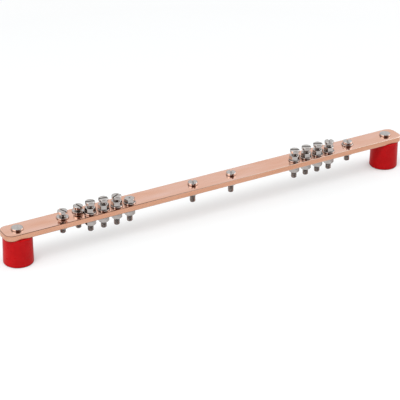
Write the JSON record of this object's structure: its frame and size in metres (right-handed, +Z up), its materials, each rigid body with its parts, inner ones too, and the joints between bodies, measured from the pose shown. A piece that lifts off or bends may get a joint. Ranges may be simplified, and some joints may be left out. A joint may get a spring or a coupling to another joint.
{
  "type": "earth terminal bar",
  "caption": "Flat copper earthing bar on two moulded insulators, with a row of screw terminals that stand through it.",
  "frame": {"origin": "middle of the footprint, on the plane that the insulators stand on", "axes": "+X along the bar to the right in the picture, +Y away from the viewer, +Z up"},
  "size_m": [0.482, 0.031, 0.0494],
  "materials": {
    "copper": "polished",
    "red_moulding": "gloss",
    "plated_steel": "bright",
    "insert_brass": "satin"
  },
  "bodies": {
    "root": {"centre_left_lock_nut": "plated_steel", "centre_left_screw": "plated_steel", "centre_right_lock_nut": "plated_steel", "centre_right_screw": "plated_steel", "copper_bar": "copper", "end_bolt_left": "plated_steel", "end_bolt_right": "plated_steel", "insulator_left": "red_moulding", "insulator_left_foot_insert": "insert_brass", "insulator_left_top_insert": "insert_brass", "insulator_right": "red_moulding", "insulator_right_foot_insert": "insert_brass", "insulator_right_top_insert": "insert_brass", "offset_left_lock_nut": "plated_steel", "offset_left_screw": "plated_steel", "offset_left_washer": "plated_steel", "outer_left_lock_nut": "plated_steel", "outer_left_screw": "plated_steel", "outer_left_washer": "plated_steel", "outer_right_lock_nut": "plated_steel", "outer_right_screw": "plated_steel", "outer_right_washer": "plated_steel", "stud_left_1_lower_nut": "plated_steel", "stud_left_1_screw": "plated_steel", "stud_left_1_upper_nut": "plated_steel", "stud_left_1_upper_washer": "plated_steel", "stud_left_2_lower_nut": "plated_steel", "stud_left_2_screw": "plated_steel", "stud_left_2_upper_nut": "plated_steel", "stud_left_2_upper_washer": "plated_steel", "stud_left_3_lower_nut": "plated_steel", "stud_left_3_screw": "plated_steel", "stud_left_3_upper_nut": "plated_steel", "stud_left_3_upper_washer": "plated_steel", "stud_left_4_bolt": "plated_steel", "stud_left_4_lower_nut": "plated_steel", "stud_left_4_upper_washer": "plated_steel", "stud_right_1_lower_nut": "plated_steel", "stud_right_1_screw": "plated_steel", "stud_right_1_upper_nut": "plated_steel", "stud_right_1_upper_washer": "plated_steel", "stud_right_2_lower_nut": "plated_steel", "stud_right_2_screw": "plated_steel", "stud_right_2_upper_nut": "plated_steel", "stud_right_2_upper_washer": "plated_steel", "stud_right_3_lower_nut": "plated_steel", "stud_right_3_screw": "plated_steel", "stud_right_3_upper_nut": "plated_steel", "stud_right_3_upper_washer": "plated_steel", "stud_right_4_lower_nut": "plated_steel", "stud_right_4_screw": "plated_steel", "stud_right_4_upper_nut": "plated_steel", "stud_right_4_upper_washer": "plated_steel", "studs_left_lower_washers": "plated_steel", "studs_right_lower_washers": "plated_steel"}
  },
  "joints": []
}
